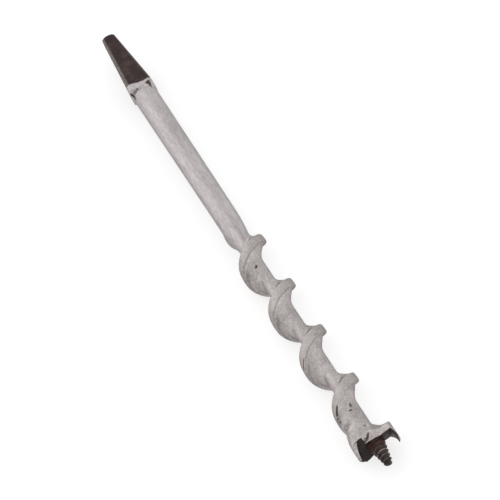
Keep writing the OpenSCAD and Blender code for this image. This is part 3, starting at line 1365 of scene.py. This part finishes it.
@dataclass(kw_only=True)
class LeadScrew(Bar):
    """The tapered screw, with one right-hand thread."""

    name: str = "lead_screw"
    slot: Slot = Slot.DARK
    finishes: tuple[Finish, ...] = (BLACKENED,)
    around: int = 48
    ring_step: float = 0.04
    base_diameter: float = 5.8
    tip_diameter: float = 2.7
    pitch: float = 1.6
    depth: float = 0.55
    thread_power: float = 1.3
    nose: float = 0.5
    nose_taper: float = 0.6
    # The turns that are rubbed, between rusted ones and dull ones
    clean_from: float = 2.6
    clean_to: float = 5.2
    clean_fade: float = 1.0
    dulled: float = 0.6
    crest_fade: Span = (0.8, 1.0)

    def turned(self, x: Array) -> Array:
        """Winds the rings with the thread, so that a row of points runs along its crest."""
        return FULL_TURN * (x - self.start) / self.pitch

    def crest(self, angle: Array) -> Array:
        """Height of the thread at angles round a ring, from 0 in the root to 1 on the crest."""
        return 1.0 - np.abs((angle / FULL_TURN) % 1.0 * 2.0 - 1.0)

    def radius(self, x: Array, angle: Array) -> Array:
        """Radius of the thread on its taper, with a blunt nose.

        Args:
            x: places along the axis.
            angle: angles round the ring.

        Returns:
            The radius at each point.
        """
        along = (x - self.start) / (self.end - self.start)
        outer = mix(self.base_diameter, self.tip_diameter, along) / 2
        thread = outer - self.depth * (1.0 - self.crest(angle) ** self.thread_power)
        past = np.clip((x - self.end + self.nose) / self.nose, 0.0, 1.0)
        return thread * np.sqrt(1.0 - self.nose_taper * past * past)

    def masks(self, x: Array, angle: Array) -> dict[str, Array]:
        """Marks the rubbed crest of the middle turns, and the rust on the first ones.

        Args:
            x: places along the axis.
            angle: angles round the ring.

        Returns:
            Values from 0 to 1, by name.
        """
        along = x - self.start
        used = rise(along, self.clean_from, self.clean_from + self.clean_fade)
        used = used * (1 - self.dulled * rise(along, self.clean_to, self.clean_to + self.clean_fade))
        rust = 1 - rise(along, self.clean_from - self.clean_fade, self.clean_to)
        return {"rubbed": rise(self.crest(angle), *self.crest_fade) * used, "rust": rust}


@dataclass(frozen=True)
class AugerBit:
    """The whole bit, piece by piece from the tang to the lead screw."""

    layout: Layout
    main_drop: float = 2.8
    main_clearance: float = 20.0
    main_spur: float = 3.2
    second_drop: float = 3.7
    second_clearance: float = 25.0
    second_spur: float = 1.4
    lip_run: float = 2.0

    def parts(self) -> list[Part]:
        """Sets out the pieces on their places along the axis.

        Returns:
            The pieces, ready to be built.
        """
        at = self.layout
        lip_end = at.head + self.second_drop + self.lip_run
        main_lip = Lip(
            name="main_lip", finishes=(GROUND, RUSTED, KEEN_STEEL_AND_HIGHLIGHT), layout=at, start=at.head, end=lip_end,
            side=Side.MAIN, drop=self.main_drop, clearance=self.main_clearance,
        )
        second_lip = Lip(
            name="second_lip", finishes=(GROUND, BLACKENED, KEEN_STEEL_AND_HIGHLIGHT), layout=at, start=at.head, end=lip_end,
            side=Side.SECOND, drop=self.second_drop, clearance=self.second_clearance,
        )
        return [
            TangBar(layout=at, start=at.tang_end, end=at.shoulder),
            TangBar(
                name="tang_shoulder", slot=Slot.POLISHED, finishes=(POLISHED,), ring_step=0.1,
                layout=at, start=at.shoulder, end=at.shank,
            ),
            ShankBar(start=at.shank, end=at.root),
            TwistBar(
                name="twist_root", slot=Slot.POLISHED, finishes=(POLISHED,), around=128, ring_step=0.25,
                layout=at, start=at.root, end=at.twist,
            ),
            TwistBar(layout=at, start=at.twist, end=at.head),
            BossBar(start=at.head, end=at.boss_end),
            main_lip,
            second_lip,
            LeadScrew(start=at.boss_end, end=at.tip),
            Spur(name="main_spur", lip=main_lip, height=self.main_spur),
            Spur(name="second_spur", lip=second_lip, height=self.second_spur),
        ]

    def build(self) -> None:
        """Makes the finishes, then models and dresses every piece."""
        grain = SteelGrain().make()
        materials = {finish.name: finish.make(grain) for finish in FINISHES}
        for part in self.parts():
            part.build(materials)


@dataclass(frozen=True)
class Viewpoint:
    """The camera: where it stands, and how the bit lies across its picture."""

    tilt: float = 39.5
    lean: float = 6.0
    slope: float = 56.5
    distance: float = 1250.0
    focal: float = 4025.0
    picture: float = 500.0
    aim_x: float = 126.8
    aim_pixel: Span = (305.37, 336.92)
    sensor: float = 36.0
    near: float = 10.0

    def place(self) -> None:
        """Adds the camera."""
        tilt, lean, slope = (math.radians(a) for a in (self.tilt, self.lean, self.slope))
        front = Vector((0.0, -math.sin(lean), math.cos(lean)))
        aside = Vector((0.0, math.cos(lean), math.sin(lean)))
        back = math.sin(tilt) * FORWARD + math.cos(tilt) * front
        run = math.cos(tilt) * FORWARD - math.sin(tilt) * front
        right = math.cos(slope) * run + math.sin(slope) * aside
        down = math.sin(slope) * run - math.cos(slope) * aside
        off = [(self.picture / 2 - pixel) / self.focal for pixel in self.aim_pixel]
        ahead = (-back + off[0] * right + off[1] * down).normalized()
        right = (right - right.dot(ahead) * ahead).normalized()
        up = right.cross(ahead)
        eye = Vector((self.aim_x, 0.0, 0.0)) + self.distance * back
        data = bpy.data.cameras.new("camera")
        data.sensor_fit = "HORIZONTAL"
        data.sensor_width = self.sensor
        data.lens = self.sensor * self.focal / self.picture
        data.clip_start = self.near * MM
        camera = bpy.data.objects.new("camera", data)
        bpy.context.scene.collection.objects.link(camera)
        turn = Matrix((right, up, -ahead)).transposed()
        camera.matrix_world = Matrix.Translation(eye * MM) @ turn.to_4x4()
        bpy.context.scene.camera = camera


@dataclass(frozen=True)
class SoftPanel:
    """A part of the studio's walls that is brighter or darker than the rest, with a soft rim."""

    towards: Direction
    rim: Span
    strength: float


@dataclass(frozen=True)
class Studio:
    """A pale floor under plain soft light."""

    floor_z: float
    middle: Vector
    floor_x: float = 100.0
    floor_size: float = 6000.0
    floor_colour: Colour = (0.42, 0.42, 0.42)
    floor_glow: float = 0.62
    lamp_offset: Direction = (-460.0, -520.0, 640.0)
    lamp_size: float = 900.0
    lamp_power: float = 0.3
    walls: float = 0.98
    panels: tuple[SoftPanel, ...] = (
        SoftPanel((-0.61, -0.61, 0.5), (0.35, 0.95), 0.36),
        SoftPanel((0.8, 0.52, 0.3), (0.7, 0.95), 0.6),
        SoftPanel((0.83, -0.48, 0.28), (0.87, 0.95), -0.9),
        SoftPanel((0.6, -0.78, 0.15), (0.85, 0.96), -0.7),
        SoftPanel((-0.9, 0.43, 0.1), (0.65, 0.95), 0.25),
        SoftPanel((-0.995, -0.05, 0.05), (0.85, 0.97), 0.8),
        SoftPanel((-0.62, 0.25, 0.74), (0.7, 0.97), -0.12),
    )

    def build(self) -> None:
        """Adds the floor, the world and the lamp."""
        self.lay_floor()
        self.light_world()
        self.hang_lamp()

    def lay_floor(self) -> None:
        """Adds the floor, which shows as white and keeps the shadow."""
        deselect_all()
        place = (self.floor_x * MM, 0.0, self.floor_z * MM)
        bpy.ops.mesh.primitive_plane_add(size=self.floor_size * MM, location=place)
        floor = bpy.context.object
        floor.name = "floor"
        material = bpy.data.materials.new("pale_floor")
        material.use_nodes = True
        bench = Bench(material.node_tree)
        diffuse = bench.add("ShaderNodeBsdfDiffuse", {"Color": opaque(self.floor_colour)})
        path = bench.add("ShaderNodeLightPath").outputs
        seen = bench.sum("MAXIMUM", path["Is Camera Ray"], path["Is Glossy Ray"])
        seen = bench.sum("MAXIMUM", seen, path["Is Transmission Ray"])
        glow = bench.add("ShaderNodeEmission", {"Strength": bench.sum("MULTIPLY", seen, self.floor_glow)})
        both = bench.add("ShaderNodeAddShader", {0: diffuse.outputs[0], 1: glow.outputs[0]})
        bench.add("ShaderNodeOutputMaterial", {"Surface": both.outputs[0]})
        floor.data.materials.append(material)
        floor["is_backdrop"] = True

    def light_world(self) -> None:
        """Lights the scene from all round, with brighter and darker panels."""
        world = bpy.data.worlds.new("studio")
        bpy.context.scene.world = world
        world.use_nodes = True
        bench = Bench(world.node_tree)
        place = bench.add("ShaderNodeTexCoord").outputs["Generated"]
        strength: object = self.walls
        for panel in self.panels:
            towards = bench.vector("DOT_PRODUCT", place, panel.towards).outputs["Value"]
            share = bench.band(towards, *panel.rim)
            strength = bench.sum("ADD", strength, bench.sum("MULTIPLY", share, panel.strength))
        feeds = {"Color": opaque(WHITE), "Strength": bench.sum("MAXIMUM", strength, 0.0)}
        background = bench.add("ShaderNodeBackground", feeds)
        bench.add("ShaderNodeOutputWorld", {"Surface": background.outputs[0]})

    def hang_lamp(self) -> None:
        """Hangs a square soft lamp that points at the middle of the bit."""
        data = bpy.data.lights.new("key", "AREA")
        data.size = self.lamp_size * MM
        data.energy = self.lamp_power
        lamp = bpy.data.objects.new("key", data)
        bpy.context.scene.collection.objects.link(lamp)
        offset = Vector(self.lamp_offset)
        lamp.location = (self.middle + offset) * MM
        lamp.rotation_euler = offset.to_track_quat("Z", "Y").to_euler()


def write_sizes() -> None:
    """Updates the view layer.
    """
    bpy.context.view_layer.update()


def main() -> None:
    """Builds the bit, the studio and the camera."""
    logging.basicConfig(level=logging.INFO, format="%(name)s: %(message)s")
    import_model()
    bpy.context.scene.view_settings.view_transform = "Standard"
    layout = Layout.from_frame()
    Viewpoint().place()
    Studio(layout.floor, Vector(((layout.tang_end + layout.tip) / 2, 0.0, 0.0))).build()
    AugerBit(layout).build()
    write_sizes()


if __name__ == "__main__":
    main()
